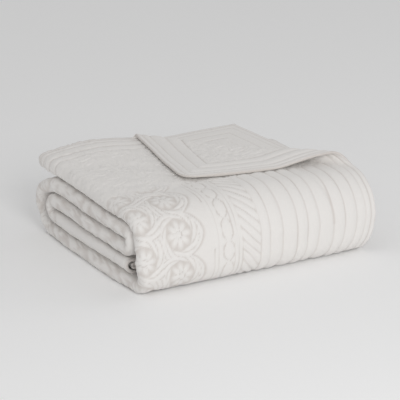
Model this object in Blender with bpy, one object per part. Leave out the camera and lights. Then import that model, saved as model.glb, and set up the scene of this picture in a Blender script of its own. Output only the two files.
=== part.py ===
# A quilted throw, folded lengthwise in four and then rolled flat into five
# levels, with one top corner turned over. Metres, +Z up, +Y to the rear.
import math
from collections import namedtuple

import bpy
import numpy as np

# Folded size
WIDTH = 0.420           # left folds to the side hem
FRONT = -0.175          # foremost point of the outer wrap
REAR_EDGE = 0.178       # end hem, at the rear of the top level
PLY = 0.0042            # loft of the quilted cloth
PLY_PITCH = 0.00615     # from one ply to the next
LEVEL_PITCH = 0.0266    # from one level of four plies to the next

# The four plies of a level
PLIES = 4
FOLD_END = 0.418        # right fold between the two inmost side panels
INNER_HEM = 0.412       # side hem of the second ply
INNER_HEM_SLIP = 0.030  # how far that hem has slipped left at the top rear

# The levels, seen from the left end
INNER_START = -0.126    # inner end of the cloth, in the second level
NOSE = 0.131            # centre of the inner rear turn
FRONT_TURN = -0.116     # centre of the inner front turn
SHOULDER_START = 0.120  # where the fourth level bends down at the rear
SHOULDER_RADIUS = 0.055
SHOULDER_TURN = 18.0
REAR_RADIUS = 0.036
FOOT_RADIUS = 0.028
CREST_RADIUS = 0.058

# Quilting, as distances from a hem
HEM = 0.0085
BORDER = 0.019
CHANNEL = 0.0217
CHANNELS = 9
LEAF_BAND = 0.033
CORD = 0.0145
OVAL_BAND = 0.019
SCALLOP_BAND = 0.031
GROOVE = 0.0011         # depth of a stitched groove in each side
GROOVE_SPREAD = 0.006   # from a stitched groove to the full loft
HEM_LOFT = 0.62         # share of the loft left at the hem
CORNER = 0.250          # side of the framed corner block
FRAME_LINES = 3

# The corner that is turned over
END_LEG = 0.257         # along the end hem, from the corner to the fold
SIDE_LEG = 0.284        # along the side hem
ROLL_RADIUS = 0.0060
ROLL_GROWTH = 0.0050    # added towards the side hem, where it is looser
FLAP_REST = 0.0064      # height of the turned ply over the one below
FLAP_SINK = 0.050       # over which it comes down to that height past the roll
CORNER_LIFT = 0.0050
LIFT_REACH = (0.100, 0.190)

# How the soft stack has settled
HUMP = 0.010            # rise at the rear, left of the turned corner
HUMP_PLACE = (0.105, 0.170)
HUMP_SPREAD = (0.110, 0.100)
LEFT_DROOP = 0.0024
RIGHT_SLOPE = 0.0030
WAVE = 0.0010
FOOT_TUCK = 0.014       # the bottom level's right end is tucked in
END_SWAY = 0.0022       # the left folds are not quite in line
FRONT_PRESS = 0.0018
LEFT_END = (0.0, 0.15)
RIGHT_PART = (0.18, 0.42)
RIGHT_END = (0.22, 0.42)
REAR_PART = (0.04, 0.18)
FRONT_PART = (-0.12, 0.04)
LOW_PART = (0.0, 0.075)

# Rows of the mesh across the turned corner
CREST_ROWS = 6
LEAST_ROW = 0.0012
FLAT_ROWS = (0.14, 0.32, 0.60, 1.0)
ROLL_ROWS = (0.18, 0.36, 0.55, 0.75, 1.0, 1.4)
END_ROWS = (2.0, 1.5, 1.0, 0.5, 0.0)

HALF_STACK = (PLIES - 1) / 2 * PLY_PITCH + PLY / 2
TOP_OFFSET = (PLIES - 1) / 2 * PLY_PITCH

# A straight run, or an arc when it has a turn; size is its length or its radius
Run = namedtuple("Run", "name size turn divisions")


def level_path():
    """Runs of the cloth along its length, from its inner end to the end hem."""
    turn = LEVEL_PITCH / 2
    angle = math.radians(SHOULDER_TURN)
    drop = 3 * LEVEL_PITCH
    bends = SHOULDER_RADIUS * (1 - math.cos(angle)) + REAR_RADIUS * (1 + math.cos(angle))
    slope = (drop - bends) / math.sin(angle)
    rear = (SHOULDER_START + SHOULDER_RADIUS * math.sin(angle) + slope * math.cos(angle)
            - REAR_RADIUS * math.sin(angle))
    centre_front = FRONT + HALF_STACK
    riser = 4 * LEVEL_PITCH - FOOT_RADIUS - CREST_RADIUS
    return [
        Run("second level", NOSE - INNER_START, 0, 1),
        Run("inner rear turn", turn, 180, 6),
        Run("third level", NOSE - FRONT_TURN, 0, 1),
        Run("inner front turn", turn, -180, 6),
        Run("fourth level", SHOULDER_START - FRONT_TURN, 0, 2),
        Run("rear shoulder", SHOULDER_RADIUS, -SHOULDER_TURN, 1),
        Run("rear slope", slope, 0, 1),
        Run("rear wrap", REAR_RADIUS, SHOULDER_TURN - 180, 6),
        Run("bottom level", rear - centre_front - FOOT_RADIUS, 0, 2),
        Run("front foot", FOOT_RADIUS, -90, 4),
        Run("front riser", riser, 0, 1),
        Run("front crest", CREST_RADIUS, -90, CREST_ROWS),
        Run("top level", REAR_EDGE - centre_front - CREST_RADIUS, 0, 5),
    ]


def ply_path():
    """Runs of the cloth across its width, from the side hem of the outer ply."""
    big = TOP_OFFSET
    small = PLY_PITCH / 2
    left = big + PLY / 2
    inner_left = left + small
    return [
        Run("outer ply", WIDTH - left, 0, 1),
        Run("outer left fold", big, 180, 5),
        Run("fourth ply", FOLD_END - PLY / 2 - small - left, 0, 4),
        Run("right fold", small, 180, 4),
        Run("third ply", FOLD_END - PLY / 2 - small - inner_left, 0, 4),
        Run("inner left fold", small, -180, 4),
        Run("second ply", INNER_HEM - inner_left, 0, 4),
    ]


def run_length(run):
    """Length of one run: straight, or an arc of its radius and turn."""
    if run.turn == 0:
        return run.size
    return run.size * math.radians(abs(run.turn))


def run_span(runs, name):
    """Where the named run starts and ends along its chain."""
    before = [run.name for run in runs].index(name)
    begin = sum(run_length(run) for run in runs[:before])
    return begin, begin + run_length(runs[before])


def trace(runs, start, heading, along):
    """Points and unit directions at distances along a chain of lines and arcs."""
    along = np.asarray(along, float)
    corner = np.array(start, float)
    angle = math.radians(heading)
    points = np.zeros(along.shape + (2,))
    headings = np.zeros(along.shape)
    begin = 0.0
    for index, run in enumerate(runs):
        length = run_length(run)
        first = index == 0
        last = index == len(runs) - 1
        here = ((along >= begin) | first) & ((along < begin + length) | last)
        step = along[here] - begin
        way = np.array([math.cos(angle), math.sin(angle)])
        if run.turn == 0:
            points[here] = corner + step[:, None] * way
            headings[here] = angle
            corner = corner + length * way
        else:
            side = math.copysign(1.0, run.turn)
            centre = corner + side * run.size * np.array([-way[1], way[0]])
            turned = angle + side * step / run.size
            outward = np.stack([np.sin(turned), -np.cos(turned)], -1) * side
            points[here] = centre + run.size * outward
            headings[here] = turned
            angle += math.radians(run.turn)
            end = np.array([math.sin(angle), -math.cos(angle)])
            corner = centre + side * run.size * end
        begin += length
    return points, headings


LEVELS = level_path()
ACROSS = ply_path()
LENGTH = sum(run_length(run) for run in LEVELS)
BREADTH = sum(run_length(run) for run in ACROSS)
OUTER_PLY = run_length(ACROSS[0])
TOP_LEVEL = run_length(LEVELS[-1])
CREST = run_length(LEVELS[-2])


def smooth(value, low, high):
    """Smooth step from 0 at low to 1 at high."""
    t = np.clip((value - low) / (high - low), 0.0, 1.0)
    return t * t * (3 - 2 * t)


def bump(value, centre, spread):
    """Smooth hill of height 1."""
    return np.exp(-((value - centre) / spread) ** 2)


def settle(point):
    """Moves points as the soft stack has settled: humps, a drooped corner, a tucked foot."""
    x, y, z = point[..., 0], point[..., 1], point[..., 2]
    height = 4 * LEVEL_PITCH + 2 * HALF_STACK
    lift = np.clip(z / height, 0.0, 1.4) ** 2
    left = 1 - smooth(x, *LEFT_END)
    low = 1 - smooth(z, *LOW_PART)
    front = 1 - smooth(y, FRONT, FRONT + CREST_RADIUS)
    rise = HUMP * bump(x, HUMP_PLACE[0], HUMP_SPREAD[0]) * bump(y, HUMP_PLACE[1], HUMP_SPREAD[1])
    rise -= LEFT_DROOP * left * smooth(y, *REAR_PART)
    rise -= RIGHT_SLOPE * smooth(x, *RIGHT_PART) * (1 - smooth(y, *FRONT_PART))
    rise += WAVE * np.sin(x / 0.090 + y / 0.080 + 1.0)
    tuck = FOOT_TUCK * smooth(x, *RIGHT_END) * low ** 1.5
    sway = END_SWAY * np.sin(z / 0.019 + 0.6) * left
    press = FRONT_PRESS * np.sin(x / 0.052 + 0.7) * front * (1 - low)
    return np.stack([x - tuck + sway, y + press, z + rise * lift], -1)


def turned_over(a, b):
    """Place of outer-ply cloth at a from the side hem and b from the end hem.

    Past the fold line the cloth runs round a roll and lies back over itself.
    Gives the a and b that it lies over, and its height over that ply.
    """
    slant = math.hypot(END_LEG, SIDE_LEG)
    normal = np.array([SIDE_LEG, END_LEG]) / slant
    beyond = END_LEG * SIDE_LEG / slant - (a * normal[0] + b * normal[1])
    beside = (a * normal[1] - b * normal[0] + END_LEG * normal[0]) / slant
    radius = ROLL_RADIUS + ROLL_GROWTH * (1 - smooth(beside, -0.6, 0.6))
    arc = np.clip(beyond / radius, 0.0, math.pi)
    past = np.maximum(beyond - math.pi * radius, 0.0)
    reach = np.where(beyond > 0, radius * np.sin(arc) - past, beyond)
    height = radius * (1 - np.cos(arc))
    height = height + (FLAP_REST - 2 * radius) * smooth(past, 0.0, FLAP_SINK)
    height = height + CORNER_LIFT * smooth(past, *LIFT_REACH)
    shift = np.where(beyond > 0, reach - beyond, 0.0)
    return a - shift * normal[0], b - shift * normal[1], height


def place(s, u):
    """Middle surface of the cloth, s across from the outer side hem, u along its length."""
    outer = s < OUTER_PLY
    a, b, height = turned_over(s, LENGTH - u)
    s_lies = np.where(outer, a, s)
    u_lies = np.where(outer, LENGTH - b, u)
    height = np.where(outer, height, 0.0)
    cross, _ = trace(ACROSS, (WIDTH, TOP_OFFSET), 180, s_lies)
    x = cross[..., 0]
    offset = cross[..., 1] + height
    slipped = smooth(s, BREADTH - run_length(ACROSS[-1]), BREADTH)
    x = x - INNER_HEM_SLIP * slipped * smooth(u, LENGTH - TOP_LEVEL - CREST, LENGTH)
    start = (INNER_START, HALF_STACK + LEVEL_PITCH)
    line, heading = trace(LEVELS, start, 0, u_lies)
    y = line[..., 0] - offset * np.sin(heading)
    z = line[..., 1] + offset * np.cos(heading)
    return settle(np.stack([x, y, z], -1))


def surface_normal(s, u):
    """Unit normal of the middle surface, on the cloth's face side."""
    step = 0.0004
    over = place(s + step, u) - place(s - step, u)
    on = place(s, u + step) - place(s, u - step)
    normal = np.cross(on, over)
    return normal / np.linalg.norm(normal, axis=-1, keepdims=True)


def quilt_lines():
    """Distances from the side hem of the groove and crest columns of the outer ply."""
    lines = [0.0, HEM, BORDER]
    for channel in range(CHANNELS):
        lines.append(BORDER + (channel + 0.5) * CHANNEL)
        lines.append(BORDER + (channel + 1) * CHANNEL)
    edge = lines[-1]
    for band in (LEAF_BAND, CORD, OVAL_BAND, CORD, SCALLOP_BAND):
        lines.append(edge + band / 2)
        lines.append(edge + band)
        edge += band
    lines.append((edge + OUTER_PLY) / 2)
    return np.array(lines)


def groove_depth(s, u):
    """Share of the groove depth at a point: 1 on a line of stitches, 0 on a puffed crest."""
    a = s
    b = LENGTH - u
    edges = [HEM, BORDER + CHANNELS * CHANNEL]
    for band in (LEAF_BAND, CORD, OVAL_BAND, CORD, SCALLOP_BAND):
        edges.append(edges[-1] + band)
    stripes = np.abs(np.sin(np.pi * (a - BORDER) / CHANNEL))
    side = np.where((a > BORDER - 1e-6) & (a < edges[1] + 1e-6), 1 - stripes, 0.0)
    for edge in edges:
        side = np.maximum(side, 1 - smooth(np.abs(a - edge), 0.0, GROOVE_SPREAD))
    nearest = np.minimum(a, b)
    frame = 1 - smooth(np.abs(nearest - HEM), 0.0, GROOVE_SPREAD)
    for line in range(FRAME_LINES):
        at = BORDER + line * CHANNEL
        frame = np.maximum(frame, 1 - smooth(np.abs(nearest - at), 0.0, CHANNEL / 2))
    corner = (a < CORNER) & (b < CORNER)
    outer = s < OUTER_PLY
    return np.where(outer, np.where(corner, frame, side), 0.0)


def side_points(s, u, side):
    """Points of one side of the cloth: 1 for the face, -1 for the reverse."""
    depth = groove_depth(s, u)
    if side > 0:
        begin, end = run_span(LEVELS, "bottom level")
        pressed = (u > begin - 1e-6) & (u < end + 1e-6)
        depth = np.where(pressed, 0.0, depth)
    edge = np.minimum(np.minimum(s, BREADTH - s), np.minimum(u, LENGTH - u))
    half = PLY / 2 - GROOVE * depth
    half = half * (HEM_LOFT + (1 - HEM_LOFT) * smooth(edge, 0.0, GROOVE_SPREAD))
    point = place(s, u) + side * half[..., None] * surface_normal(s, u)
    point[..., 2] = np.maximum(point[..., 2], 0.0)
    return point


def even_rows(runs):
    """Distances along the cloth of the rows of each run, its end included."""
    rows = [0.0]
    for run in runs:
        length = run_length(run)
        start = rows[-1]
        rows += [start + length * (k + 1) / run.divisions for k in range(run.divisions)]
    return rows


def outer_rows(a):
    """Rows of the outer ply at distances a from the side hem: they follow the turned corner."""
    steady = even_rows(LEVELS[:-2])
    crest = [steady[-1] + CREST * k / CREST_ROWS for k in range(1, CREST_ROWS)]
    rows = [np.full_like(a, row) for row in steady + crest]
    fixed = LENGTH - crest[-1]
    slant = math.hypot(END_LEG, SIDE_LEG)
    fold = SIDE_LEG * (1 - a / END_LEG)
    radius = ROLL_RADIUS + ROLL_GROWTH / 2
    rolled = math.pi * radius * slant / END_LEG
    closing = [BORDER + part * CHANNEL for part in END_ROWS] + [HEM, 0.0]
    steps = [fixed - (fixed - fold) * part for part in FLAT_ROWS]
    steps += [fold - rolled * part for part in ROLL_ROWS]
    steps.append(steps[-1] * 0.55 + closing[0] * 0.45)
    for index, step in enumerate(steps):
        spare = LEAST_ROW * (len(steps) - index) + closing[0] * smooth(fold, -0.05, 0.10)
        rows.append(LENGTH - np.maximum(step, spare))
    before = LENGTH - rows[-1]
    for value in closing:
        rows.append(LENGTH - value * np.minimum(1.0, before * 0.8 / closing[0]))
    return np.array(rows)


def outer_row_subset():
    """Which of the outer ply's rows run on across the other plies."""
    steady = len(even_rows(LEVELS[:-2])) + CREST_ROWS - 1
    total = outer_rows(np.zeros(1)).shape[0]
    return list(range(steady + 3)) + [total - 1]


def cloth_grids():
    """Grids of the outer ply and of the plies inside it, and the rows that they share."""
    columns = np.append(quilt_lines(), OUTER_PLY)
    rows = outer_rows(columns)
    outer = (np.broadcast_to(columns, rows.shape), rows)
    kept = outer_row_subset()
    across = [OUTER_PLY + value for value in even_rows(ACROSS[1:])]
    along = rows[kept, -1]
    inner = np.meshgrid(across, along)
    return outer, (inner[0], inner[1]), kept


def grid_faces(index, flip):
    """Quads of a grid of vertex numbers."""
    a, b, c, d = index[:-1, :-1], index[:-1, 1:], index[1:, 1:], index[1:, :-1]
    quads = np.stack([a, b, c, d], -1).reshape(-1, 4)
    return (quads[:, ::-1] if flip else quads).tolist()


def join_rows(fine, coarse, kept, flip):
    """Triangles between a column with all rows and one with the kept rows only."""
    faces = []
    for k in range(len(kept) - 1):
        low, high = kept[k], kept[k + 1]
        middle = (low + high) // 2
        for row in range(low, high):
            near = coarse[k] if row < middle else coarse[k + 1]
            faces.append([fine[row], near, fine[row + 1]])
        faces.append([fine[middle], coarse[k], coarse[k + 1]])
    return [face[::-1] for face in faces] if flip else faces


def rim_faces(loop_face, loop_back):
    """Quads that close the edge between the face and the reverse."""
    faces = []
    for k in range(len(loop_face)):
        n = (k + 1) % len(loop_face)
        faces.append([loop_face[k], loop_face[n], loop_back[n], loop_back[k]])
    return faces


def build_cloth():
    """Vertices and faces of the folded cloth, as one closed body."""
    outer, inner, kept = cloth_grids()
    count_outer = outer[0].size
    points = []
    faces = []
    index = []
    begin = 0
    for side in (1, -1):
        outer_points = side_points(*outer, side)
        inner_points = side_points(inner[0][:, 1:], inner[1][:, 1:], side)
        points += [outer_points.reshape(-1, 3), inner_points.reshape(-1, 3)]
        first = begin + np.arange(count_outer).reshape(outer[0].shape)
        shape = (inner[0].shape[0], inner[0].shape[1] - 1)
        second = begin + count_outer + np.arange(shape[0] * shape[1]).reshape(shape)
        flip = side > 0
        faces += grid_faces(first, flip)
        faces += grid_faces(second, flip)
        faces += join_rows(first[:, -1], second[:, 0], kept, flip)
        index.append((first, second))
        begin += count_outer + shape[0] * shape[1]
    loops = []
    for first, second in index:
        loops.append(np.concatenate([
            first[0, :], second[0, :], second[1:, -1], second[-1, -2::-1],
            first[-1, ::-1], first[-2:0:-1, 0]]).tolist())
    faces += rim_faces(loops[0], loops[1])
    return np.concatenate(points), faces


def quilted_cotton():
    """Material of the cloth: washed cotton, warm white and matt."""
    material = bpy.data.materials.new("quilted_cotton")
    material.use_nodes = True
    shader = material.node_tree.nodes["Principled BSDF"]
    shader.inputs["Base Color"].default_value = (0.84, 0.82, 0.80, 1.0)
    shader.inputs["Roughness"].default_value = 0.92
    shader.inputs["Metallic"].default_value = 0.0
    return material


def add_throw():
    """The folded throw, centred over the origin and resting at z = 0."""
    points, faces = build_cloth()
    low = points.min(axis=0)
    high = points.max(axis=0)
    points = points - [(low[0] + high[0]) / 2, (low[1] + high[1]) / 2, low[2]]
    mesh = bpy.data.meshes.new("throw")
    mesh.from_pydata(points.tolist(), [], faces)
    mesh.validate()
    mesh.materials.append(quilted_cotton())
    throw = bpy.data.objects.new("throw", mesh)
    bpy.context.scene.collection.objects.link(throw)
    return throw


for old in list(bpy.data.objects):
    bpy.data.objects.remove(old)

add_throw()
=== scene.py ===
import math
from collections import namedtuple

import bpy
import numpy as np
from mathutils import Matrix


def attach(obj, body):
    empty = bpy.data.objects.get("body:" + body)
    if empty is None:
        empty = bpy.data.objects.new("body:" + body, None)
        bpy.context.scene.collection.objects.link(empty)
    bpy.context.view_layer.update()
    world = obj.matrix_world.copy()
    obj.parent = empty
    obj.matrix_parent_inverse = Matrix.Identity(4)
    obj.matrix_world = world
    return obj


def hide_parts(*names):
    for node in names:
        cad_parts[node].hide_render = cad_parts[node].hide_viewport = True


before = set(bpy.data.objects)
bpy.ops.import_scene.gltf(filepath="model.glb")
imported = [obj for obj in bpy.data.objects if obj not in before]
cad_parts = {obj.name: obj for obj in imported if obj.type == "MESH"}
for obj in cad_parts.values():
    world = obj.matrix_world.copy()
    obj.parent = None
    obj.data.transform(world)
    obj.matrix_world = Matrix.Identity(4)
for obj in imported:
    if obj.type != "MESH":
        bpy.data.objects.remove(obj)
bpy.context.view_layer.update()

# Camera at the photograph's angle
view = {
    "azimuth": -30.0845,
    "elevation": 19.0482,
    "distance": 2.98738,
    "focalLength": 168.86,
    "sensorWidth": 36.0,
    "target": (-0.00877, -0.00859, 0.07267),
}

azimuth = math.radians(view["azimuth"])
elevation = math.radians(view["elevation"])
target = np.array(view["target"])
outward = np.array([math.sin(azimuth) * math.cos(elevation),
                    -math.cos(azimuth) * math.cos(elevation), math.sin(elevation)])
cameraData = bpy.data.cameras.new("camera")
cameraData.lens = view["focalLength"]
cameraData.sensor_width = view["sensorWidth"]
camera = bpy.data.objects.new("camera", cameraData)
camera.location = target + outward * view["distance"]
camera.rotation_euler = (math.pi / 2 - elevation, 0.0, azimuth)
bpy.context.scene.collection.objects.link(camera)
bpy.context.scene.camera = camera
print("camera set")

# The folded cloth: its sizes, in metres
fold = {
    "width": 0.420,
    "front": -0.175,
    "rearEdge": 0.178,
    "ply": 0.0042,
    "plyPitch": 0.00615,
    "levelPitch": 0.0266,
    "foldEnd": 0.418,
    "innerHem": 0.412,
    "innerHemSlip": 0.040,
    "innerStart": -0.126,
    "nose": 0.131,
    "frontTurn": -0.116,
    "shoulderStart": 0.120,
    "shoulderRadius": 0.055,
    "shoulderTurn": 18.0,
    "rearRadius": 0.036,
    "footRadius": 0.028,
    "crestRadius": 0.058,
    "centre": (0.20932657, 0.00858906),
}

# The turned corner
corner = {
    "endLeg": 0.250,
    "sideLeg": 0.300,
    "tightRoll": 0.0040,
    "looseRoll": 0.0125,
    "looseReach": (-0.10, 0.52),
    "rest": 0.0072,
    "tightSink": 0.020,
    "looseSink": 0.120,
    "lift": 0.0030,
    "liftReach": (0.100, 0.190),
    "tipRounding": 0.026,
}

# How the soft stack has settled
rest = {
    "hump": 0.0140,
    "humpPlace": (0.088, 0.175),
    "humpSpread": (0.085, 0.115),
    "rightRise": 0.0055,
    "leftDroop": 0.0010,
    "rightSlope": 0.0030,
    "wave": 0.0010,
    "waveSpan": (0.090, 0.080),
    "footTuck": 0.014,
    "endSway": 0.0022,
    "endSwaySpan": 0.019,
    "frontPress": 0.0018,
    "frontPressSpan": 0.052,
    "risePart": (0.17, 0.30),
    "riseRear": (-0.02, 0.15),
    "leftEnd": (0.0, 0.15),
    "rightPart": (0.18, 0.42),
    "rightEnd": (0.22, 0.42),
    "rearPart": (0.04, 0.18),
    "frontPart": (-0.12, 0.04),
    "lowPart": (0.0, 0.075),
    "layerSway": 0.0030,
    "layerSwaySpan": (0.075, 0.024),
    "swell": 0.0011,
    "swellSpan": (0.070, 0.085, 0.030),
}

Run = namedtuple("Run", "name size turn step")
plyCount = 4
halfStack = (plyCount - 1) / 2 * fold["plyPitch"] + fold["ply"] / 2
topOffset = (plyCount - 1) / 2 * fold["plyPitch"]


def levelPath():
    # Runs along the cloth's length: a straight length or an arc's radius, its turn, and mesh step
    turn = fold["levelPitch"] / 2
    angle = math.radians(fold["shoulderTurn"])
    drop = 3 * fold["levelPitch"]
    shoulder, rearRadius = fold["shoulderRadius"], fold["rearRadius"]
    bends = shoulder * (1 - math.cos(angle)) + rearRadius * (1 + math.cos(angle))
    slope = (drop - bends) / math.sin(angle)
    rear = (fold["shoulderStart"] + shoulder * math.sin(angle) + slope * math.cos(angle)
            - rearRadius * math.sin(angle))
    front = fold["front"] + halfStack
    riser = 4 * fold["levelPitch"] - fold["footRadius"] - fold["crestRadius"]
    return [
        Run("second level", fold["nose"] - fold["innerStart"], 0, 0.0130),
        Run("inner rear turn", turn, 180, 0.0050),
        Run("third level", fold["nose"] - fold["frontTurn"], 0, 0.0130),
        Run("inner front turn", turn, -180, 0.0050),
        Run("fourth level", fold["shoulderStart"] - fold["frontTurn"], 0, 0.0130),
        Run("rear shoulder", shoulder, -fold["shoulderTurn"], 0.0045),
        Run("rear slope", slope, 0, 0.0045),
        Run("rear wrap", rearRadius, fold["shoulderTurn"] - 180, 0.0040),
        Run("bottom level", rear - front - fold["footRadius"], 0, 0.0110),
        Run("front foot", fold["footRadius"], -90, 0.0020),
        Run("front riser", riser, 0, 0.0020),
        Run("front crest", fold["crestRadius"], -90, 0.0020),
        Run("top level", fold["rearEdge"] - front - fold["crestRadius"], 0, 0.0020),
    ]


def plyPath():
    # Runs across the cloth's width, from the side hem of the outer ply
    big = topOffset
    small = fold["plyPitch"] / 2
    left = big + fold["ply"] / 2
    innerLeft = left + small
    reach = fold["foldEnd"] - fold["ply"] / 2 - small
    return [
        Run("outer ply", fold["width"] - left, 0, 0.0022),
        Run("outer left fold", big, 180, 0.0029),
        Run("fourth ply", reach - left, 0, 0.036),
        Run("right fold", small, 180, 0.0016),
        Run("third ply", reach - innerLeft, 0, 0.036),
        Run("inner left fold", small, -180, 0.0016),
        Run("second ply", fold["innerHem"] - innerLeft, 0, 0.036),
    ]


def runLength(run):
    # A straight run's own length, or an arc's: radius times turn
    return run.size if run.turn == 0 else run.size * math.radians(abs(run.turn))


def trace(runs, start, heading, along):
    # Points and headings at distances along a chain of straight runs and arcs
    along = np.asarray(along, float)
    here = np.array(start, float)
    angle = math.radians(heading)
    points = np.zeros(along.shape + (2,))
    headings = np.zeros(along.shape)
    begin = 0.0
    for index, run in enumerate(runs):
        length = runLength(run)
        first, last = index == 0, index == len(runs) - 1
        inside = ((along >= begin) | first) & ((along < begin + length) | last)
        step = along[inside] - begin
        way = np.array([math.cos(angle), math.sin(angle)])
        if run.turn == 0:
            points[inside] = here + step[:, None] * way
            headings[inside] = angle
            here = here + length * way
        else:
            side = math.copysign(1.0, run.turn)
            centre = here + side * run.size * np.array([-way[1], way[0]])
            turned = angle + side * step / run.size
            spoke = np.stack([np.sin(turned), -np.cos(turned)], -1) * side
            points[inside] = centre + run.size * spoke
            headings[inside] = turned
            angle += math.radians(run.turn)
            here = centre + side * run.size * np.array([math.sin(angle), -math.cos(angle)])
        begin += length
    return points, headings


levels = levelPath()
plies = plyPath()
clothLength = sum(runLength(run) for run in levels)
clothWidth = sum(runLength(run) for run in plies)
outerPly = runLength(plies[0])
topLevel = runLength(levels[-1])
crestLength = runLength(levels[-2])
# The inner plies are drawn back from the right end: the share of it where each run ends
plyEnds = np.cumsum([runLength(run) for run in plies])
slipKnots = np.concatenate([[0.0], plyEnds[1:]])
slipShares = (0.0, 0.0, 1.0, 1.0, 0.0, 0.0, 1.0)


def smooth(value, low, high):
    # 3t^2 - 2t^3 between low and high
    t = np.clip((value - low) / (high - low), 0.0, 1.0)
    return t * t * (3 - 2 * t)


def bump(value, centre, spread):
    # A Gaussian: e to the power of minus the squared distance in spreads
    return np.exp(-((value - centre) / spread) ** 2)


def hashed(x, y, seed):
    # A repeatable number from 0 to 1 for each whole x and y
    mixed = np.sin(x * 127.1 + y * 311.7 + seed * 74.7) * 43758.5453
    return mixed - np.floor(mixed)


def noise(x, y, seed):
    # Smooth noise from -1 to 1: hashed corners of a unit lattice, blended by 3t^2 - 2t^3
    cellX, cellY = np.floor(x), np.floor(y)
    tx, ty = x - cellX, y - cellY
    tx, ty = tx * tx * (3 - 2 * tx), ty * ty * (3 - 2 * ty)
    low = hashed(cellX, cellY, seed) * (1 - tx) + hashed(cellX + 1, cellY, seed) * tx
    high = hashed(cellX, cellY + 1, seed) * (1 - tx) + hashed(cellX + 1, cellY + 1, seed) * tx
    return (low * (1 - ty) + high * ty) * 2 - 1


def settle(point):
    # The stack has slumped: a hump, a drooped corner, a tucked foot, uneven layers
    x, y, z = point[..., 0], point[..., 1], point[..., 2]
    height = 4 * fold["levelPitch"] + 2 * halfStack
    lift = np.clip(z / height, 0.0, 1.4) ** 2
    left = 1 - smooth(x, *rest["leftEnd"])
    low = 1 - smooth(z, *rest["lowPart"])
    front = 1 - smooth(y, fold["front"], fold["front"] + fold["crestRadius"])
    rise = (rest["hump"] * bump(x, rest["humpPlace"][0], rest["humpSpread"][0])
            * bump(y, rest["humpPlace"][1], rest["humpSpread"][1]))
    rise -= rest["leftDroop"] * left * smooth(y, *rest["rearPart"])
    rise -= rest["rightSlope"] * smooth(x, *rest["rightPart"]) * (1 - smooth(y, *rest["frontPart"]))
    rise += rest["rightRise"] * smooth(x, *rest["risePart"]) * smooth(y, *rest["riseRear"])
    waveX, waveY = rest["waveSpan"]
    rise += rest["wave"] * np.sin(x / waveX + y / waveY + 1.0)
    tuck = rest["footTuck"] * smooth(x, *rest["rightEnd"]) * low ** 1.5
    sway = rest["endSway"] * np.sin(z / rest["endSwaySpan"] + 0.6) * left
    swayY, swayZ = rest["layerSwaySpan"]
    sway = sway + rest["layerSway"] * noise(y / swayY, z / swayZ, 3) * left
    swellX, swellY, swellZ = rest["swellSpan"]
    rise = rise + rest["swell"] * noise(x / swellX, y / swellY + z / swellZ, 5)
    press = rest["frontPress"] * np.sin(x / rest["frontPressSpan"] + 0.7) * front * (1 - low)
    return np.stack([x - tuck + sway, y + press, z + rise * lift], -1)


def roundedTip(a, b):
    # Pulls the square corner in to an arc: x sqrt(1 - y^2 / 2), y sqrt(1 - x^2 / 2)
    size = corner["tipRounding"]
    x, y = np.clip(1 - a / size, 0, 1.2), np.clip(1 - b / size, 0, 1.2)
    return (a + size * x * (1 - np.sqrt(1 - y * y / 2)),
            b + size * y * (1 - np.sqrt(1 - x * x / 2)))


def turnedOver(a, b):
    # Past the fold line the cloth runs round a roll, then lies back over itself
    a, b = roundedTip(a, b)
    slant = math.hypot(corner["endLeg"], corner["sideLeg"])
    normal = (corner["sideLeg"] / slant, corner["endLeg"] / slant)
    reachLine = corner["endLeg"] * corner["sideLeg"] / slant
    beyond = reachLine - (a * normal[0] + b * normal[1])
    beside = (a * normal[1] - b * normal[0] + corner["endLeg"] * normal[0]) / slant
    loose = 1 - smooth(beside, *corner["looseReach"])
    radius = corner["tightRoll"] + (corner["looseRoll"] - corner["tightRoll"]) * loose
    sink = corner["tightSink"] + (corner["looseSink"] - corner["tightSink"]) * loose
    arc = np.clip(beyond / radius, 0.0, math.pi)
    past = np.maximum(beyond - math.pi * radius, 0.0)
    reach = np.where(beyond > 0, radius * np.sin(arc) - past, beyond)
    height = radius * (1 - np.cos(arc))
    height = height + (corner["rest"] - 2 * radius) * smooth(past / sink, 0.0, 1.0)
    height = height + corner["lift"] * smooth(past, *corner["liftReach"])
    shift = np.where(beyond > 0, reach - beyond, 0.0)
    return a - shift * normal[0], b - shift * normal[1], height


def clothPlace(s, u):
    # Middle of the cloth, s across from the outer side hem, u along its length
    outer = s < outerPly
    a, b, height = turnedOver(s, clothLength - u)
    sLies = np.where(outer, a, s)
    uLies = np.where(outer, clothLength - b, u)
    height = np.where(outer, height, 0.0)
    cross, _ = trace(plies, (fold["width"], topOffset), 180, sLies)
    x = cross[..., 0]
    offset = cross[..., 1] + height
    slipped = np.interp(s, slipKnots, slipShares)
    x = x - (fold["innerHemSlip"] * slipped
             * smooth(u, clothLength - topLevel - crestLength, clothLength))
    start = (fold["innerStart"], halfStack + fold["levelPitch"])
    line, heading = trace(levels, start, 0, uLies)
    y = line[..., 0] - offset * np.sin(heading)
    z = line[..., 1] + offset * np.cos(heading)
    point = settle(np.stack([x, y, z], -1))
    return point - np.array([fold["centre"][0], fold["centre"][1], 0.0])


def clothNormal(s, u):
    # Cross product of the central differences along and across the cloth, made one long
    step = 0.0004
    over = clothPlace(s + step, u) - clothPlace(s - step, u)
    along = clothPlace(s, u + step) - clothPlace(s, u - step)
    normal = np.cross(along, over)
    return normal / np.linalg.norm(normal, axis=-1, keepdims=True)


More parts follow.
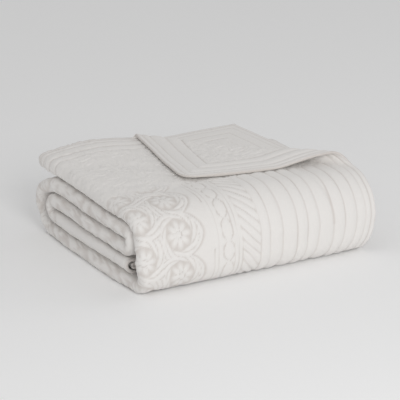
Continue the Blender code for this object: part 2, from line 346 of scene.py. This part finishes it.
# Quilting: distances from a side hem, with the loft of each strip
quilt = {
    "leafPitch": 0.0150,
    "leafRise": 0.031,
    "ovalPitch": 0.030,
    "scallopPitch": 0.057,
    "scallopPeak": 0.312,
    "scallopDeep": 0.024,
    "scallopCord": 0.0065,
    "besideScallop": 0.006,
    "wedgeSeam": 0.0780,
    "wedgeSpread": 0.0115,
    "wedgeLength": 0.10,
    "seamWidth": 0.005,
    "cornerBlock": 0.250,
    "blockField": 0.0625,
    "endBorder": (0.215, 0.255),
    "wander": 0.0011,
    "fineWander": 0.0005,
    "base": 0.00125,
    "loft": 0.00180,
    "showingLoft": 0.00290,
    "innerReverse": 0.0026,
    "thinnest": 0.0007,
    "pucker": 0.0016,
    "lines": 0.0011,
    "puckerSize": 0.0080,
}
# Flowers of the field: rows of rosettes with leaves swirling round them
rosette = {
    "firstRow": 0.352,
    "rowPitch": 0.060,
    "petal": 0.0165,
    "petalSwing": 0.0050,
    "heart": 0.0046,
    "heartGap": 0.0052,
    "leafStart": 0.0215,
    "leafStep": 0.0075,
    "leafEdge": (0.0200, 0.0235),
    "leaves": 8,
}
Strip = namedtuple("Strip", "end kind loft")
strips = [
    Strip(0.0085, "hem", 0.35),
    Strip(0.0190, "channel", 0.60),
    Strip(0.0360, "channel", 0.85),
    Strip(0.0570, "channel", 1.00),
    Strip(0.0780, "channel", 1.00),
    Strip(0.1070, "channel", 1.00),
    Strip(0.1280, "channel", 1.00),
    Strip(0.1470, "channel", 0.95),
    Strip(0.1740, "channel", 1.00),
    Strip(0.1970, "channel", 1.00),
    Strip(0.2140, "channel", 0.90),
    Strip(0.2470, "leaf", 0.70),
    Strip(0.2540, "cord", 0.60),
    Strip(0.2610, "cord", 0.60),
    Strip(0.2800, "oval", 0.70),
    Strip(0.2875, "cord", 0.60),
    Strip(0.2950, "cord", 0.60),
    Strip(1.0000, "field", 0.60),
]
frameEdges = [0.0, 0.0085, 0.0190, 0.0410, 0.0620, 0.0780]
frameLofts = [0.35, 0.60, 0.90, 0.90, 0.60]
frameWidth = frameEdges[-2]


def arch(t, power=2.4):
    # 0 at t = 0 and t = 1, 1 at the middle, with a flat top
    return 1 - np.abs(2 * t - 1) ** power


def between(edges, value):
    # Which strip a distance is in, and how far across it, from 0 to 1
    edges = np.array(edges)
    index = np.clip(np.searchsorted(edges, value, side="right") - 1, 0, len(edges) - 2)
    t = (value - edges[index]) / (edges[index + 1] - edges[index])
    return index, np.clip(t, 0.0, 1.0)


def leafRelief(t, v):
    # Slanting leaves side by side, rising towards the hem
    phase = (v + (1 - t) * quilt["leafRise"]) / quilt["leafPitch"]
    across = phase - np.floor(phase)
    return arch(across, 2.0) * np.clip(arch(t, 6.0), 0, 1) ** 0.5


def ovalRelief(t, v):
    # A chain of touching ovals, between two crossing wavy lines
    wide = 0.46 * np.abs(np.sin(np.pi * v / quilt["ovalPitch"])) ** 0.7 + 0.02
    across = np.abs(t - 0.5) / wide
    inside = np.sqrt(np.clip(1 - across ** 2, 0, 1))
    outside = 0.55 * smooth(across, 1.0, 1.8)
    return np.where(across < 1, inside, outside)


def fieldRelief(a, v):
    # Scalloped cord, then rosettes with sprays of leaves between
    pitch = quilt["scallopPitch"]
    swing = np.abs(np.sin(np.pi * v / pitch)) ** 0.75
    edge = quilt["scallopPeak"] + quilt["scallopDeep"] * (1 - swing)
    past = a - edge
    cord = quilt["scallopCord"]
    relief = 0.55 * smooth(-past, 0.0, quilt["besideScallop"])
    scallopCord = arch(np.clip(past / cord, 0, 1), 2.0) * (past > 0) * (past < cord)
    relief = np.maximum(relief, scallopCord)
    inside = past > cord
    row = np.round((a - rosette["firstRow"]) / rosette["rowPitch"])
    centreA = rosette["firstRow"] + row * rosette["rowPitch"]
    shifted = v - pitch / 2 - (row % 2) * pitch / 2
    centreV = np.round(shifted / pitch) * pitch
    da, dv = a - centreA, shifted - centreV
    radius = np.hypot(da, dv)
    turn = np.arctan2(dv, da)
    petals = np.abs(np.cos(4 * turn + 0.4))
    reach = rosette["petal"] + rosette["petalSwing"] * petals
    petal = arch(np.clip(radius / reach, 0, 1) * 0.5 + 0.5, 2.0) * (petals ** 0.5)
    petal = petal * (radius > rosette["heartGap"])
    heart = np.sqrt(np.clip(1 - (radius / rosette["heart"]) ** 2, 0, 1))
    swirl = ((radius - rosette["leafStart"]) / rosette["leafStep"]
             + turn * rosette["leaves"] / (2 * np.pi))
    leaves = arch(swirl - np.floor(swirl), 2.0) * smooth(radius, *rosette["leafEdge"])
    flower = np.maximum(np.maximum(petal, heart), 0.85 * leaves)
    return np.where(inside, flower, relief)


def crinkle(s, u, scale, seed):
    # Pebbly puckers: two turned ridged noises
    x, y = s / scale, u / scale
    first = 1 - np.abs(noise(x + 0.35 * y, y - 0.35 * x, seed))
    second = 1 - np.abs(noise(x * 1.9 - 0.6 * y, y * 1.7 + 0.6 * x, seed + 1))
    return (first + 0.6 * second) / 1.6


def quiltRelief(s, u):
    # Loft of the quilted cloth from 0, a stitched line, to 1, a full channel; and its crinkling
    a = np.minimum(s, clothWidth - s)
    b = np.minimum(u, clothLength - u)
    # Hand-guided lines wander a little along their length
    wander = (quilt["wander"] * noise(u / 0.085, a / 0.030, 11)
              + quilt["fineWander"] * noise(u / 0.030, a / 0.020, 12))
    wandered = a + wander * smooth(a, 0.004, 0.020)
    edges = [0.0] + [strip.end for strip in strips]
    index, t = between(edges, wandered)
    kinds = np.array([strip.kind for strip in strips])[index]
    lofts = np.array([strip.loft for strip in strips])[index]
    relief = np.where(kinds == "channel", arch(t), 0.0)
    relief = np.where(kinds == "hem", arch(t, 4.0), relief)
    relief = np.where(kinds == "cord", arch(t, 2.0), relief)
    relief = np.where(kinds == "leaf", leafRelief(t, u), relief)
    relief = np.where(kinds == "oval", ovalRelief(t, u), relief)
    relief = np.where(kinds == "field", fieldRelief(wandered, u), relief)
    relief = relief * lofts
    # One extra line splits a channel on the top level and runs into its seam where the crest starts
    down = clothLength - topLevel - crestLength - u
    spread = quilt["wedgeSpread"] * (1 - smooth(down, -quilt["wedgeLength"], 0.0))
    pinch = np.abs(wandered - quilt["wedgeSeam"] - spread)
    pinched = 0.35 + 0.65 * smooth(pinch, 0.0, quilt["seamWidth"])
    relief = relief * np.where(down < 0, pinched, 1.0)
    # End border and corner block
    nearest = np.minimum(a, b) + 0.6 * wander
    frameIndex, frameT = between(frameEdges, nearest)
    frameRelief = arch(frameT) * np.array(frameLofts)[frameIndex]
    innerField = 0.35 + 0.65 * fieldRelief(0.36 + a, b + 0.02)
    blockRelief = np.where(nearest > quilt["blockField"], 0.75 * innerField, frameRelief)
    inBlock = (a < quilt["cornerBlock"]) & (b < quilt["cornerBlock"])
    relief = np.where(inBlock, blockRelief, relief)
    endShare = 1 - smooth(b, *quilt["endBorder"])
    endField = 0.45 + 0.55 * fieldRelief(b + 0.30, a * 1.1)
    endRelief = np.where(b < frameWidth, frameRelief, endField)
    atEnd = (endShare > 0) & (a >= quilt["cornerBlock"])
    relief = np.where(atEnd, relief * (1 - endShare) + 0.8 * endRelief * endShare, relief)
    fieldShare = np.where(inBlock, smooth(nearest, 0.055, 0.070), smooth(a, 0.300, 0.325))
    fieldShare = np.maximum(fieldShare, endShare * (a > 0.245) * smooth(b, 0.05, 0.07))
    return relief, fieldShare


Crease = namedtuple("Crease", "s u turn length width depth")
creases = [
    Crease(0.392, 1.36, 84, 0.075, 0.0060, -0.0014),
    Crease(0.380, 1.33, 80, 0.060, 0.0050, 0.0009),
    Crease(0.386, 1.45, 60, 0.050, 0.0080, -0.0012),
    Crease(0.345, 1.47, 20, 0.060, 0.0090, -0.0013),
    Crease(0.330, 1.52, 8, 0.070, 0.0080, 0.0012),
    Crease(0.315, 1.55, 12, 0.060, 0.0070, -0.0010),
    Crease(0.370, 1.58, 18, 0.055, 0.0110, -0.0014),
    Crease(0.300, 1.44, -24, 0.040, 0.0070, -0.0012),
    Crease(0.345, 1.62, 4, 0.070, 0.0080, 0.0012),
    Crease(0.240, 1.33, 30, 0.050, 0.0100, -0.0008),
    Crease(0.120, 1.30, 70, 0.060, 0.0110, -0.0008),
    Crease(0.050, 1.37, 62, 0.055, 0.0080, -0.0010),
    Crease(0.150, 1.52, 35, 0.050, 0.0080, -0.0010),
    Crease(0.090, 1.58, -40, 0.050, 0.0090, 0.0010),
]


def creaseHeight(s, u):
    # Soft troughs and ridges: a Gaussian across, a wider one along
    height = np.zeros_like(s)
    for crease in creases:
        angle = math.radians(crease.turn)
        ds, du = s - crease.s, u - crease.u
        along = ds * math.cos(angle) + du * math.sin(angle)
        across = -ds * math.sin(angle) + du * math.cos(angle)
        across = across + 0.12 * along ** 2 / crease.length
        height += crease.depth * bump(across, 0, crease.width) * bump(along, 0, crease.length)
    return height


def surfacePoints(s, u, side):
    # One side of the cloth: half its loft, puckers and creases away from the middle
    clampedS = np.clip(s, 0, clothWidth)
    clampedU = np.clip(u, 0, clothLength)
    relief, fieldShare = quiltRelief(clampedS, clampedU)
    pucker = crinkle(clampedS, clampedU, quilt["puckerSize"], 21) - 0.6
    lines = crinkle(clampedS * 2.6, clampedU * 0.7, quilt["puckerSize"], 31) - 0.6
    showing = (clampedS < outerPly + 0.01) & (clampedU > clothLength - 0.46)
    loft = np.where(showing, quilt["showingLoft"], quilt["loft"])
    half = quilt["base"] + loft * relief
    onTop = smooth(clampedU, clothLength - topLevel - 0.03, clothLength - topLevel + 0.03)
    strength = 0.30 + 0.90 * fieldShare
    half = half + quilt["pucker"] * pucker * strength * (0.35 + 0.65 * onTop)
    half = half + quilt["lines"] * lines * strength * (1 - 0.75 * onTop)
    half = half + 0.00045 * noise(clampedS / 0.035, clampedU / 0.045, 41)
    inner = clampedS > outerPly + runLength(plies[1])
    half = np.where(inner & (side < 0), np.minimum(half, quilt["innerReverse"]), half)
    half = np.maximum(half, quilt["thinnest"])
    crease = creaseHeight(clampedS, clampedU) * (clampedS < outerPly + 0.02)
    # Where the hem is turned back, the edge stands out as a bead
    outerSide = np.clip(side, 0, 1)
    bead = np.where(outerSide < 1, 1 + 0.5 * outerSide, 1.0)[..., None]
    return clothPlace(s, u) + (side * half + crease)[..., None] * clothNormal(s, u) * bead


def evenSteps(runs, fineSpans=()):
    # Distances along a chain of runs, stepped as each run asks, or finer in the given spans
    values = [0.0]
    begin = 0.0
    for run in runs:
        length = runLength(run)
        end = begin + length
        while values[-1] < end - 1e-6:
            step = run.step
            for low, high, fine in fineSpans:
                if low - 1e-6 <= values[-1] < high:
                    step = min(step, fine)
            left = end - values[-1]
            count = max(1, math.ceil(left / step - 1e-6))
            values.append(values[-1] + left / count)
        begin = end
    return np.array(values)


def hemmed(values, total, hem):
    # Adds a rounded edge and a turned-back hem at both ends: distances and sides of the cloth
    bend = np.array([0.5, 0.0, -0.5])
    gap = 0.0009
    inner = values[(values > gap) & (values < total - gap)]
    back = np.array([1.0, 0.75, 0.5, 0.25, 0.06]) * hem
    distance = np.concatenate([back, 0 * bend, [gap], inner, [total - gap],
                               total + 0 * bend, total - back[::-1]])
    side = np.concatenate([-np.ones(5), bend[::-1], [0.95], np.ones(len(inner)), [0.95],
                           bend, -np.ones(5)])
    return distance, side


def gridMesh(name, s, u, side):
    # A mesh on the grid of s and u, with its cloth distances as UV
    points = surfacePoints(s, u, side).reshape(-1, 3)
    rows, columns = s.shape
    index = np.arange(rows * columns).reshape(rows, columns)
    quads = np.stack([index[:-1, :-1], index[:-1, 1:], index[1:, 1:], index[1:, :-1]], -1)
    quads = quads.reshape(-1, 4)
    if side.mean() > 0:
        quads = quads[:, ::-1]  # so that the face points outwards too
    mesh = bpy.data.meshes.new(name)
    mesh.vertices.add(len(points))
    mesh.vertices.foreach_set("co", points.ravel())
    mesh.loops.add(quads.size)
    mesh.loops.foreach_set("vertex_index", quads.ravel())
    mesh.polygons.add(len(quads))
    mesh.polygons.foreach_set("loop_start", np.arange(0, quads.size, 4))
    mesh.polygons.foreach_set("loop_total", np.full(len(quads), 4))
    mesh.polygons.foreach_set("use_smooth", np.ones(len(quads), bool))
    mesh.update()
    uvs = np.stack([s.ravel()[quads.ravel()], u.ravel()[quads.ravel()]], -1)
    layer = mesh.uv_layers.new(name="cloth")
    layer.data.foreach_set("uv", uvs.ravel())
    # The relief attribute also masks the painted shade in the grooves, in the material
    relief, fieldShare = quiltRelief(np.clip(s, 0, clothWidth), np.clip(u, 0, clothLength))
    for label, values in (("relief", relief), ("crinkled", fieldShare)):
        attribute = mesh.attributes.new(label, "FLOAT", "POINT")
        attribute.data.foreach_set("value", values.ravel())
    mesh.validate()
    piece = bpy.data.objects.new(name, mesh)
    bpy.context.scene.collection.objects.link(piece)
    return piece


# Face: fine where it shows on the front and top. Reverse: fine on the turned corner.
hemWidth = 0.0085
columns, columnSide = hemmed(evenSteps(plies), clothWidth, hemWidth)
rows, rowSide = hemmed(evenSteps(levels), clothLength, hemWidth)
sGrid, uGrid = np.meshgrid(columns, rows)
sideGrid = np.minimum(*np.meshgrid(columnSide, rowSide))
faceCloth = gridMesh("face_cloth", sGrid, uGrid, sideGrid)
print("face cloth", len(faceCloth.data.polygons) * 2, "triangles")

coarsePlies = [run._replace(step=max(run.step, 0.0095) if run.turn == 0 else run.step)
               for run in plies]
coarseLevels = [run._replace(step=max(run.step, 0.0060)) for run in levels]
fineAcross = [(0.0, 0.275, 0.0020), (clothWidth - 0.16, clothWidth, 0.0026)]
fineAlong = [(clothLength - 0.310, clothLength, 0.0020)]


def underHem(values, total):
    # Ends both edges of the reverse part-way under the turned-back hem
    edge = 0.6 * hemWidth
    inner = values[(values > edge) & (values < total - edge)]
    return np.concatenate([[edge], inner, [total - edge]])


columnsBack = underHem(evenSteps(coarsePlies, fineAcross), clothWidth)
rowsBack = underHem(evenSteps(coarseLevels, fineAlong), clothLength)
sBack, uBack = np.meshgrid(columnsBack, rowsBack)
reverseCloth = gridMesh("reverse_cloth", sBack, uBack, -0.96 * np.ones_like(sBack))
print("reverse cloth", len(reverseCloth.data.polygons) * 2, "triangles")


def linear(value):
    # sRGB hex to linear RGBA
    parts = [int(value[i:i + 2], 16) / 255 for i in (1, 3, 5)]
    return [p / 12.92 if p <= 0.04045 else ((p + 0.055) / 1.055) ** 2.4 for p in parts] + [1.0]


def addNode(tree, kind, links=(), **settings):
    # Adds a node, sets its properties, then its inputs from numbers or sockets
    node = tree.nodes.new(kind)
    for key, value in settings.items():
        setattr(node, key, value)
    for name, value in dict(links).items():
        socket = node.inputs[name]
        if isinstance(value, bpy.types.NodeSocket):
            tree.links.new(value, socket)
        else:
            socket.default_value = value
    return node


cotton = {
    "crest": "#EDEAE7",
    # The groove colour is painted shade for the stitched grooves; the crest colour is the cloth's
    # own
    "groove": "#D9D3CE",
    "roughness": 0.88,
    "sheen": 0.25,
    "sheenRoughness": 0.5,
    "ior": 1.45,
    "grooveRelief": 0.35,
    "weaveMm": 0.9,  # drawn coarser than real threads, so that it shows
    "weaveDepth": 0.0004,
    "slubMm": 5.0,
    "slubDepth": 0.0012,
    "bumpStrength": 0.35,
}


def washedCotton():
    # Washed cotton matelasse: matt, slightly furry, warm white, with painted shade darkening its
    # stitched grooves
    material = bpy.data.materials.new("washed_cotton")
    material.use_nodes = True
    tree = material.node_tree
    shader = tree.nodes["Principled BSDF"]
    shader.inputs["Roughness"].default_value = cotton["roughness"]
    shader.inputs["Sheen Weight"].default_value = cotton["sheen"]
    shader.inputs["Sheen Roughness"].default_value = cotton["sheenRoughness"]
    shader.inputs["IOR"].default_value = cotton["ior"]
    uv = addNode(tree, "ShaderNodeUVMap", uv_map="cloth").outputs["UV"]
    relief = addNode(tree, "ShaderNodeAttribute", attribute_name="relief").outputs["Fac"]
    # Painted shade: the colour runs from the groove colour at a stitched line up to the crest
    # colour where the relief reaches grooveRelief
    grooveShadeShare = addNode(tree, "ShaderNodeMapRange",
                    {"Value": relief, "From Min": 0.0, "From Max": cotton["grooveRelief"]})
    slub = addNode(tree, "ShaderNodeTexNoise",
                   {"Vector": uv, "Scale": 1000 / cotton["slubMm"], "Detail": 3.0})
    mixed = addNode(tree, "ShaderNodeMix", data_type="RGBA")
    tree.links.new(grooveShadeShare.outputs["Result"], mixed.inputs["Factor"])
    colours = [socket for socket in mixed.inputs if socket.type == "RGBA"]
    colours[0].default_value = linear(cotton["groove"])
    colours[1].default_value = linear(cotton["crest"])
    result = [socket for socket in mixed.outputs if socket.type == "RGBA"][0]
    tree.links.new(result, shader.inputs["Base Color"])
    weave = addNode(tree, "ShaderNodeTexNoise",
                    {"Vector": uv, "Scale": 1000 / cotton["weaveMm"], "Detail": 2.0})
    weaveBump = addNode(tree, "ShaderNodeBump",
                        {"Height": weave.outputs["Fac"], "Strength": cotton["bumpStrength"],
                         "Distance": cotton["weaveDepth"]})
    slubBump = addNode(tree, "ShaderNodeBump",
                       {"Height": slub.outputs["Fac"], "Strength": cotton["bumpStrength"],
                        "Distance": cotton["slubDepth"],
                        "Normal": weaveBump.outputs["Normal"]})
    tree.links.new(slubBump.outputs["Normal"], shader.inputs["Normal"])
    return material


cottonMaterial = washedCotton()
for piece in (faceCloth, reverseCloth):
    piece.data.materials.append(cottonMaterial)
    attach(piece, "root")
    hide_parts("throw")
print("cloth dressed")

# Floor and soft studio light
studio = {
    "floor": "#FFFFFF",
    "floorSize": 12.0,
    "world": 0.55,
}


def paleFloor():
    # One large square at the height that the throw lies on
    mesh = bpy.data.meshes.new("floor")
    half = studio["floorSize"] / 2
    mesh.from_pydata([(-half, -half, 0), (half, -half, 0), (half, half, 0), (-half, half, 0)],
                     [], [(0, 1, 2, 3)])
    floor = bpy.data.objects.new("floor", mesh)
    bpy.context.scene.collection.objects.link(floor)
    material = bpy.data.materials.new("pale_floor")
    material.use_nodes = True
    shader = material.node_tree.nodes["Principled BSDF"]
    shader.inputs["Base Color"].default_value = linear(studio["floor"])
    shader.inputs["Roughness"].default_value = 0.9
    mesh.materials.append(material)
    return floor


paleFloor()

world = bpy.data.worlds.new("studio")
world.use_nodes = True
world.node_tree.nodes["Background"].inputs["Color"].default_value = (1.0, 1.0, 1.0, 1.0)
world.node_tree.nodes["Background"].inputs["Strength"].default_value = studio["world"]
bpy.context.scene.world = world
bpy.context.scene.view_settings.view_transform = "Standard"

Lamp = namedtuple("Lamp", "name place size power")
lamps = [
    Lamp("key", (-0.55, -2.3, 1.25), 0.9, 19.0),
    Lamp("side", (2.2, -0.9, 1.2), 1.2, 3.0),
]
for lamp in lamps:
    data = bpy.data.lights.new(lamp.name, "AREA")
    data.size = lamp.size
    data.energy = lamp.power
    light = bpy.data.objects.new(lamp.name, data)
    light.location = lamp.place
    away = np.array(lamp.place) - target
    light.rotation_euler = (math.atan2(math.hypot(away[0], away[1]), away[2]), 0.0,
                            math.atan2(away[0], -away[1]))
    bpy.context.scene.collection.objects.link(light)
print("studio lit")
